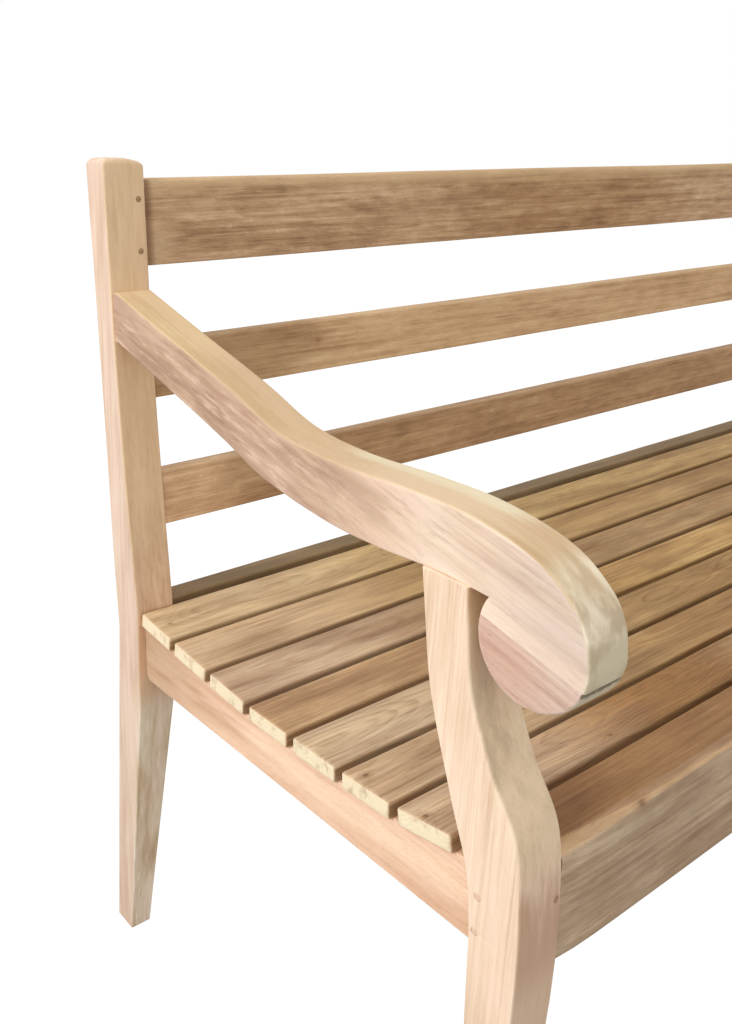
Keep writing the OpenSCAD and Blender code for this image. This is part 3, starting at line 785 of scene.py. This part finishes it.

# The wood of each kind of piece, with painted light and shade in some of its zones. On the right-hand pieces
# x counts from the other end.
LOOKS = {
    "rear_leg": dict(
        tones=LEG_TONES, pith=(30, 150), rings=3.0, ring=0.08, streak=0.56, blotch=0.4,
        tint=((240, 206, 186), 0.45), bow=3, pore=0.4,
        zones=(
            # painted light: the front faces are made lighter and the outer faces cooler than the leg's wood
            shade_zone((1.12, 1.1, 1.02), FRONT_FACE),
            shade_zone((0.95, 1.01, 1.07), OUTER_FACE),
            shade_zone((0.92, 0.88, 0.85), ("cloud", 0.46, 0.7)),
            shade_zone((0.8, 0.74, 0.62), FRONT_FACE, ("z", 330, 280, 40), ("cloud", 0.42, 0.62)),
            shade_zone((0.9, 0.9, 0.9), FRONT_FACE, ("z", 570, 530, 40), ("z", 410, 450, 40)),
            zone((232, 204, 160), 0.45, FRONT_FACE, ("z", 420, 560, 80)),
            # lower front face made paler and greyer: partly the wood's grey tone, partly painted light
            # thrown up from the floor
            shade_zone((1.06, 1.27, 1.48), FRONT_FACE, ("z", 352, 316, 40)))),
    "front_leg": dict(
        tones=((206, 172, 142), (234, 206, 178), (246, 226, 202)), pith=(-60, -130), rings=3.0, ring=0.08,
        streak=0.6, blotch=0.4, tint=((248, 214, 190), 0.4), bow=3, pore=0.35,
        zones=(
            zone((232, 208, 168), 0.45, FRONT_FACE, ("z", 415, 470, 60)),
            zone((204, 168, 138), 0.55, FRONT_FACE, ("z", 440, 400, 60)),
            shade_zone((0.84, 0.77, 0.73), FRONT_FACE, ("z", 450, 415, 30), ("z", 335, 380, 30)),
            shade_zone((0.78, 0.78, 0.76), FRONT_FACE, ("z", 590, 560, 20), ("z", 460, 510, 30),
                       ("cloud", 0.42, 0.66)),
            shade_zone((0.95, 0.93, 0.91), OUTER_FACE, ("z", 400, 280, 60)),
            shade_zone((0.9, 0.86, 0.82), OUTER_FACE, ("cloud", 0.46, 0.7)),
            # painted shadow of the arm and scroll on the top of the front face
            shade_zone((0.8, 0.7, 0.62), FRONT_FACE, ("z", 604, 634, 10)))),
    "armrest": dict(
        tones=ARM_TONES, pith=(90, 40), rings=3.2, ring=0.02, streak=0.4, blotch=0.5,
        tint=((236, 200, 182), 0.45), bow=6, flecks=0.3, pore=0.5, end_tone=(240, 222, 190),
        zones=(
            zone((208, 178, 133), 0.7, TOP_FACE),
            zone((232, 206, 172), 0.6, TOP_FACE, ("y", -280, -360, 80), ("y", -470, -420, 60)),
            shade_zone((1.12, 1.16, 1.14), TOP_FACE, ("y", -150, -60, 40)),
            zone((234, 224, 192), 0.65, TOP_FACE, ("x", 24, 36, 14), ("y", -262, -300, 40),
                 ("y", -470, -420, 40)),
            shade_zone((0.73, 0.7, 0.66), OUTER_FACE, ("y", -380, -230, 160)),
            shade_zone((0.8, 0.76, 0.74), OUTER_FACE, ("y", -400, -300, 100), ("cloud", 0.46, 0.66)),
            shade_zone((1.0, 1.1, 1.13), OUTER_FACE, ("y", -330, -400, 60)),
            shade_zone((0.86, 0.86, 0.9), OUTER_FACE, ("y", -440, -490, 60)),
            zone((156, 118, 94), 0.4, OUTER_FACE, ("y", -370, -260, 100), ("v", 4, -8, 16),
                 ("rough", 0.46, 0.64)),
            zone((238, 208, 184), 0.35, OUTER_FACE, ("y", -370, -260, 100), ("v", 4, -8, 16),
                 ("rough", 0.46, 0.34)),
            # a paler band under the side face's top edge: partly lighter wood, partly a painted edge
            # highlight
            zone((246, 220, 196), 0.4, OUTER_FACE, ("v", 3, -1.5, 3), ("y", -350, -420)),
            zone((252, 240, 214), 0.8, ("front", 0.25, 0.6), ("z", 684, 668, 20)),
            zone((180, 144, 98), 0.6, ("front", 0.1, 0.3), ("z", 652, 664, 30), ("cloud", 0.42, 0.66),
                 ("y", -420, -450, 20)),
            zone((174, 144, 104), 0.6, ("front", 0.3, 0.5), ("z", 662, 652, 30), ("cloud", 0.44, 0.66)),
            zone((194, 160, 110), 0.4, ("front", 0.1, 0.4), ("z", 655, 668, 40), ("x", 24, 12, 40)),
            zone((198, 184, 152), 0.65, ("front", 0.4, 0.7), ("z", 650, 626, 24)))),
    "scroll": dict(
        tones=((168, 126, 105), (202, 165, 144), (222, 193, 174)), pith=(120, -30), rings=2.2, ring=0.2,
        streak=0.8, blotch=0.3, tint=((204, 164, 144), 0.5), bow=3, end_tone=(226, 208, 180),
        zones=(
            shade_zone((1.0, 1.09, 1.14), OUTER_FACE, ("y", -465, -505, 30)),
            zone((206, 194, 166), 0.8, ("front", 0.4, 0.75)),
            zone((100, 86, 66), 0.85, ("front", 0.2, 0.5), ("v", 17.0, 21.0, 8)))),
    "side_rail": dict(
        tones=((206, 158, 124), (230, 190, 158), (242, 212, 184)), pith=(60, -40), rings=6, ring=0.12,
        streak=0.4, blotch=0.45, tint=((244, 204, 176), 0.45), bow=12,
        zones=(
            shade_zone((0.7, 0.68, 0.62), ("y", -180, 0, 80)),
            shade_zone((0.84, 0.78, 0.72), ("cloud", 0.48, 0.7)),
            shade_zone((1.06, 1.1, 1.1), ("cloud", 0.5, 0.32)))),
    "top_rail": dict(
        tones=((152, 114, 82), (200, 163, 124), (232, 200, 164)), pith=(160, 24), rings=3.4, ring=0.08,
        streak=0.66, blotch=0.55, tint=((176, 134, 98), 0.45), bow=10, chatter=0.38,
        zones=(
            shade_zone((0.84, 0.77, 0.66), ("x", 400, 660, 120), ("x", LENGTH - 400, LENGTH - 660, 120)),
            # painted highlight on the rounded top of the rail
            zone((222, 188, 142), 0.55, ("z", 862, 876, 8)),
            zone((226, 194, 156), 0.6, ("x", 88, 58, 60), ("z", 852, 836, 30), FRONT_FACE),
            # painted shade on the front face beside the post, which stands proud of the rail
            shade_zone((0.5, 0.44, 0.4), ("x", 62, 52), FRONT_FACE))),
    "back_slat_upper": dict(
        tones=((174, 132, 92), (216, 178, 134), (238, 206, 164)), pith=(150, -40), rings=3.2, ring=0.08,
        streak=0.55, blotch=0.5, bow=10, chatter=0.22, knots=((273, 36, 697, 2.0),),
        zones=(
            shade_zone((0.72, 0.68, 0.64), ("x", 330, 200, 120)),
            # painted shade on the front face beside the post
            shade_zone((0.62, 0.56, 0.5), ("x", 52, 46), FRONT_FACE))),
    "back_slat_lower": dict(
        tones=((140, 102, 68), (180, 142, 104), (208, 173, 132)), pith=(130, 60), rings=3.2, ring=0.08,
        streak=0.55, blotch=0.5, bow=10, chatter=0.28,
        zones=(
            shade_zone((1.5, 1.6, 1.75), ("x", 190, 90, 60)),
            # painted shade on the front face beside the post
            shade_zone((0.62, 0.56, 0.5), ("x", 52, 46), FRONT_FACE))),
    "rear_rail": dict(
        tones=((104, 83, 55), (138, 112, 77), (165, 137, 101)), pith=(110, 60), rings=3.2, ring=0.08,
        streak=0.55, blotch=0.5, bow=10),
    "front_rail": dict(
        tones=((146, 108, 76), (186, 148, 112), (212, 180, 142)), pith=(-120, -30), rings=3.4, ring=0.08,
        streak=0.62, blotch=0.6, tint=((166, 128, 94), 0.4), bow=10, chatter=0.2, end_tone=(140, 116, 88),
        knots=((138, -497, 450, 3.2),),
        zones=(
            shade_zone((0.72, 0.6, 0.42), ("up", 0.5, 0.9), ("y", -492, -488, 3)),
            shade_zone((0.93, 0.85, 0.8), ("front", 0.7, 0.95), ("x", 230, 460, 100)),
            shade_zone((0.84, 0.79, 0.73), ("front", 0.7, 0.95), ("cloud", 0.46, 0.7)),
            shade_zone((1.16, 1.18, 1.18), ("front", 0.7, 0.95), ("cloud", 0.54, 0.36)),
            # painted shadow of the left leg and arm on the rail's top
            shade_zone((0.8, 0.76, 0.76), ("up", 0.5, 0.9), ("x", 200, 60, 60)),
            # painted highlight along the ridge of the nose
            zone((230, 190, 142), 0.6, ("front", 0.3, 0.5), ("up", 0.4, 0.6), ("cloud", 0.7, 0.48)),
            # painted cool light: the front face is given a greyer, cooler cast
            shade_zone((1.0, 1.12, 1.3), ("front", 0.7, 0.95)))),
}

corner_top, slope_top, slope_end = SIDE_RAIL_BOTTOM + SIDE_RAIL_CORNER, bearing[0][1], bearing[-1][1]
side_rail_outline = anticlockwise(
    [(SIDE_RAIL_END[0], SIDE_RAIL_BOTTOM, 0)]
    + arc((post_face - SIDE_RAIL_CORNER, corner_top), SIDE_RAIL_CORNER, -90, 0, 6)[:-1]
    + [(post_face, corner_top, 0, HELD), (post_face, slope_top)] + bearing
    + [(SIDE_RAIL_END[1], slope_end + SIDE_RAIL_LIP)])
bearer_front, bearer_back = FRONT_RAIL["back"], REAR_RAIL["face"]
bearer_outline = anticlockwise(
    [(bearer_front, BEARER_BOTTOM, 2), (bearer_back, BEARER_BOTTOM, 2), (bearer_back, slope_top)]
    + bearing + [(bearer_front, slope_end)])

for side, flip in ("left", False), ("right", True):
    seed = 1.0 if flip else 0.0
    far = LENGTH if flip else 0

    def at(pins):
        """The pins at this end of the bench."""
        return mirror_x(pins) if flip else pins

    def look(kind, centre, grain, own_seed):
        """The wood of one kind of piece at this end; the right end has the left one's marks mirrored."""
        spot = (abs(far - centre[0]), *centre[1:])
        return wood(f"teak_{kind}_{side}", spot, grain, seed=own_seed + seed, mirrored=flip, **LOOKS[kind])

    leg = prism(f"teak_rear_leg_{side}", rear_leg_outline, 0, LEG, LEG_EASE, LEG_STEP,
                leg_warp(1 + seed), flip)
    for pins in (top_pins, slat_pins, rear_pins):
        carve(leg, at(pins))
    piece(leg, look("rear_leg", (23, 40, 450), GRAIN_Z, 3), "teak_legs", f"rear_leg_{side}")

    leg = prism(f"teak_front_leg_{side}", front_leg_outline, 0, LEG, LEG_EASE, LEG_STEP,
                leg_warp(3 + seed), flip)
    for pins in (front_pins, side_pins):
        carve(leg, at(pins))
    piece(leg, look("front_leg", (23, -460, 320), GRAIN_Z, 5), "teak_legs", f"front_leg_{side}")

    arm = prism(f"teak_armrest_{side}", arm_outline, *ARM, ARM_EASE, ARM_STEP, None, flip)
    piece(arm, look("armrest", (23, -240, 690), tilted(15), 8), "teak_arms", f"armrest_{side}")

    roll = prism(f"teak_scroll_{side}", scroll_outline, *ARM, ARM_EASE, ARM_STEP, None, flip)
    piece(roll, look("scroll", (23, -480, 590), tilted(14), 11), "teak_arms", f"arm_scroll_{side}")

    rail = prism(f"teak_side_rail_{side}", side_rail_outline, *RAIL, RAIL_EASE, RAIL_STEP, None, flip)
    piece(rail, look("side_rail", (22, -240, 400), tilted(0), 14), "teak_seat_rails", f"side_rail_{side}")

for k, (side, x) in enumerate(zip(("left", "right"), BEARER_X)):
    bearer = prism(f"teak_bearer_{side}", bearer_outline, x - BEARER_T / 2, x + BEARER_T / 2,
                   RAIL_EASE, RAIL_STEP)
    material = wood(f"teak_bearer_{side}", (x, -220, 400), tilted(0), RAIL_TONES, pith=(30, -50),
                    ring=0.2, seed=17 + k)
    piece(bearer, material, "teak_seat_rails", f"seat_bearer_{side}")


def rail_warp(seed, size=0.5):
    """Lets a long board's faces wander a little."""
    def warp(x, y, z):
        return (x, y + wander(x / 130, z / 60, size, seed), z + wander(x / 170, y / 60, size, seed + 3))
    return warp


def long_board(name, node, outline, ease, x0, centre, slot, seed, **look):
    """A board that runs along the bench, from x0 to as far from the other end; centre is its (y, z)."""
    board = prism(name, outline, x0, LENGTH - x0, ease, LONG_STEP, rail_warp(seed))
    material = wood(name, (LENGTH / 2, *centre), GRAIN_X, seed=seed, **look)
    return piece(board, material, slot, node)


# The leaning rails of the back: their front face's centre (y, z), lean in degrees, half height, radii of
# the two upper edges, and the middle of their wood
for seed, node, spot, lean, half, (front_edge, rear_edge), centre in (
        (21, "top_rail", (48.5, 840), 3.6, 42.75, (9, 6), (58, 840)),
        (24, "back_slat_upper", (36.5, 692), 5.5, 29.5, (3.5, 3), (46, 692)),
        (27, "back_slat_lower", (21, 555.5), 6.8, 29.5, (3.5, 3), (31, 555))):
    outline = anticlockwise(leaning(spot, lean, [
        (0, -half, 2.5), (0, half, front_edge), (BACK_T, half, rear_edge), (BACK_T, -half, 2.5)]))
    long_board(f"teak_{node}", node, outline, BUTT_EASE, LEG, centre, "teak_back_rails", seed, **LOOKS[node])

face, back, bottom, top = (REAR_RAIL[key] for key in ("face", "back", "bottom", "top"))
rear_rail_outline = anticlockwise([(face, bottom, 2), (face, top, 3), (back, top, 3), (back, bottom, 2)])
long_board("teak_rear_rail", "rear_seat_rail", rear_rail_outline, BUTT_EASE, LEG, (21, 408),
           "teak_seat_rails", 30, **LOOKS["rear_rail"])
long_board("teak_front_rail", "front_seat_rail", front_rail_section, BUTT_EASE, LEG, (-472, 403),
           "teak_seat_rails", 33, **LOOKS["front_rail"])

# Each slat has a tone, a place in the log and marks of its own, from the back to the front. A knot is
# (x, how far from the slat's back edge, size).
PLAIN = dict(pith=(70, -30), rings=3.2, ring=0.1, bow=10)
WAVY = dict(pith=(4, -16), rings=3.4, ring=0.3, bow=20)
SLAT_LOOKS = (
    dict(WAVY, ring=0.18, tones=((180, 142, 98), (218, 186, 142), (236, 212, 172)),
         knots=((20.7, 30.7, 1.6),),
         zones=(shade_zone((1.15, 1.2, 1.3), ("x", 120, 300, 100), ("x", 700, 450, 100)),)),
    dict(PLAIN, tones=((170, 132, 92), (210, 176, 136), (228, 202, 164))),
    dict(WAVY, ring=0.16, tones=((166, 131, 99), (199, 164, 131), (221, 197, 165)),
         tint=((220, 196, 164), 0.5)),
    dict(PLAIN, pith=(50, 40), tones=((152, 112, 78), (193, 154, 112), (222, 190, 148)),
         zones=(shade_zone((1.36, 1.5, 1.5), ("x", 330, 620, 160)),)),
    dict(WAVY, pith=(2, -12), tones=((160, 124, 88), (204, 174, 138), (226, 202, 168)),
         zones=(shade_zone((0.9, 0.82, 0.7), ("x", 300, 560, 160)),)),
    dict(PLAIN, pith=(20, -24), ring=0.2, tones=((160, 122, 84), (200, 166, 128), (222, 196, 160)),
         knots=((17.7, 15.9, 2.6), (290, 44, 2.2)),
         zones=(shade_zone((1.0, 0.94, 0.85), ("x", 300, 520, 160)),)),
    dict(WAVY, pith=(10, -20), ring=0.16, tones=((156, 120, 88), (198, 164, 130), (224, 198, 164)),
         knots=((11.9, 24.2, 2.0), (215, 44.3, 2.2)),
         zones=(shade_zone((0.82, 0.66, 0.47), TOP_FACE, ("x", 130, 300, 120), ("x", 520, 380, 120)),)))


def seat_zones(edge):
    """The looks that all slats share, painted shade among them; edge is how high a slat's front top edge is
    over its middle.
    """
    return (shade_zone((0.9, 0.9, 0.92), TOP_FACE),
            shade_zone((0.74, 0.69, 0.66), TOP_FACE, ("cloud", 0.46, 0.72)),
            shade_zone((1.2, 1.22, 1.2), TOP_FACE, ("cloud", 0.5, 0.3)),
            # painted shade: the slats are darker and browner away from each end, for the fall-off of light
            # and the arms' shadow
            shade_zone((0.8, 0.72, 0.53), ("x", 110, 360, 200), ("x", LENGTH - 110, LENGTH - 360, 200)),
            # painted shade on the slats' front sides, down in the gaps between slats
            shade_zone((0.6, 0.58, 0.55), ("front", 0.8, 0.97), ("v", edge - 2, edge - 5)))


for i, own in enumerate(SLAT_LOOKS):
    corners = [slat_corner(i, *spot) for spot in ((0, 0), (SLAT_W, 0), (SLAT_W, SLAT_T), (0, SLAT_T))]
    outline = anticlockwise([(*c, radius) for c, radius in zip(corners, (2.2, 2.2, 1.2, 1.2))])
    middle = (corners[0] + corners[2]) / 2
    own = dict(own, zones=seat_zones(corners[1].y - middle.y) + own.get("zones", ()),
               knots=[(x, *slat_corner(i, behind, 0), size) for x, behind, size in own.get("knots", ())])
    long_board(f"teak_slat_{i + 1}", f"seat_slat_{i + 1}", outline, RAIL_EASE, SLAT_INSET, middle,
               "teak_slats", 40 + 3 * i, streak=0.62, blotch=0.45, end_tone=(240, 222, 188), **own)

DOWEL_TONES = ((146, 112, 80), (176, 142, 106), (196, 162, 126))
PALE_DOWEL_TONES = ((196, 160, 130), (222, 188, 158), (236, 206, 178))
pin_wood = wood("dowel_wood", (0, 0, 0), GRAIN_X, DOWEL_TONES, streak=0.4, seed=70)
side_pin_wood = wood("dowel_wood_pale", (0, 0, 0), GRAIN_Z, PALE_DOWEL_TONES, streak=0.4, seed=71)
for name, node, pins, material in (
        ("pins_top_rail", "top_rail_pins", top_pins, pin_wood),
        ("pins_back_slats", "back_slat_pins", slat_pins, pin_wood),
        ("pins_rear_rail", "rear_seat_rail_pins", rear_pins, pin_wood),
        ("pins_front_rail", "front_rail_pins", front_pins, pin_wood),
        ("pins_side_rail", "side_rail_pins", side_pins, side_pin_wood)):
    piece(rods(name, pins + mirror_x(pins), PIN_RADIUS, PIN_DOME), material, "dowel_wood", node)

# These stay as the CAD made them, with a better material
for name, material, slot in (("arm_pins", pin_wood, "dowel_wood"), ("scroll_dowels", pin_wood, "dowel_wood"),
                             ("seat_screws", steel("screw_steel"), "screw_steel")):
    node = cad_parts[name]
    node.data.materials.clear()
    node.data.materials.append(material)

# ---- Studio ----

WHITE = (1, 1, 1, 1)
FLOOR_REACH = 9  # m
FLOOR_GREY = (0.55, 0.55, 0.55, 1)
FLOOR_GLOW, FLOOR_SHARE = 1.1, 0.93  # the camera sees the floor almost as a plain white glow
AMBIENT_COLOUR, AMBIENT = (1.0, 0.985, 0.95, 1), 0.82
floor_corners = [(x * FLOOR_REACH, y * FLOOR_REACH, 0) for x, y in ((-1, -1), (1, -1), (1, 1), (-1, 1))]
floor_mesh = bpy.data.meshes.new("floor")
floor_mesh.from_pydata(floor_corners, [], [(0, 1, 2, 3)])
floor = bpy.data.objects.new("floor", floor_mesh)
bpy.context.scene.collection.objects.link(floor)
floor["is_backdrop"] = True
net = Net("pale_floor")
matt, glow, blend, path, out = (net.nodes.new(n) for n in (
    "ShaderNodeBsdfDiffuse", "ShaderNodeEmission", "ShaderNodeMixShader", "ShaderNodeLightPath",
    "ShaderNodeOutputMaterial"))
matt.inputs[0].default_value = FLOOR_GREY
glow.inputs[0].default_value, glow.inputs[1].default_value = WHITE, FLOOR_GLOW
share = net.math("MULTIPLY", Value(net, path.outputs["Is Camera Ray"]), FLOOR_SHARE)
net.links.new(share.socket, blend.inputs[0])
net.links.new(matt.outputs[0], blend.inputs[1])
net.links.new(glow.outputs[0], blend.inputs[2])
net.links.new(blend.outputs[0], out.inputs[0])
floor_mesh.materials.append(net.material)

world = bpy.data.worlds.new("studio")
bpy.context.scene.world = world
world.use_nodes = True
tree = world.node_tree
tree.nodes.clear()
seen, ambient = tree.nodes.new("ShaderNodeBackground"), tree.nodes.new("ShaderNodeBackground")
seen.inputs[0].default_value, seen.inputs[1].default_value = WHITE, 1.0
ambient.inputs[0].default_value, ambient.inputs[1].default_value = AMBIENT_COLOUR, AMBIENT
choose, path, world_out = (tree.nodes.new(n) for n in (
    "ShaderNodeMixShader", "ShaderNodeLightPath", "ShaderNodeOutputWorld"))
tree.links.new(path.outputs["Is Camera Ray"], choose.inputs[0])
tree.links.new(ambient.outputs[0], choose.inputs[1])
tree.links.new(seen.outputs[0], choose.inputs[2])
tree.links.new(choose.outputs[0], world_out.inputs[0])


def area_light(name, spot, target, size, power, colour):
    light = bpy.data.lights.new(name, "AREA")
    light.shape, light.size, light.energy, light.color = "DISK", size, power, colour
    obj = bpy.data.objects.new(name, light)
    obj.location = spot
    obj.rotation_euler = (Vector(target) - Vector(spot)).to_track_quat("-Z", "Y").to_euler()
    bpy.context.scene.collection.objects.link(obj)


area_light("key", spot=(-2.75, 0.3, 1.85), target=(-0.6, -0.15, 0.5), size=1.3, power=39.5,
           colour=(0.94, 0.96, 1.0))

# ---- Camera ----

EYE = (-479.7, -820.4, 921.9)
SENSOR, LENS = 36.0, 34.82521875  # mm
SHIFT_X, SHIFT_Y = 0.142578125, -0.046875  # shares of the sensor
YAW, PITCH, ROLL = (math.radians(d) for d in (35.591, 18.322, 0.155))

camera_data = bpy.data.cameras.new("camera")
camera_data.sensor_width, camera_data.lens = SENSOR, LENS
camera_data.shift_x, camera_data.shift_y = SHIFT_X, SHIFT_Y
camera_data.clip_start = 0.05
camera = bpy.data.objects.new("camera", camera_data)
bpy.context.scene.collection.objects.link(camera)
forward = Vector((math.sin(YAW) * math.cos(PITCH), math.cos(YAW) * math.cos(PITCH), -math.sin(PITCH)))
right = Vector((math.cos(YAW), -math.sin(YAW), 0))
up = right.cross(forward)
right, up = (math.cos(ROLL) * right + math.sin(ROLL) * up, math.cos(ROLL) * up - math.sin(ROLL) * right)
turn = Matrix((right, up, -forward)).transposed().to_4x4()
camera.matrix_world = Matrix.Translation(place(*EYE)) @ turn
bpy.context.scene.camera = camera
bpy.context.scene.view_settings.view_transform = "Standard"

low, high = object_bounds()
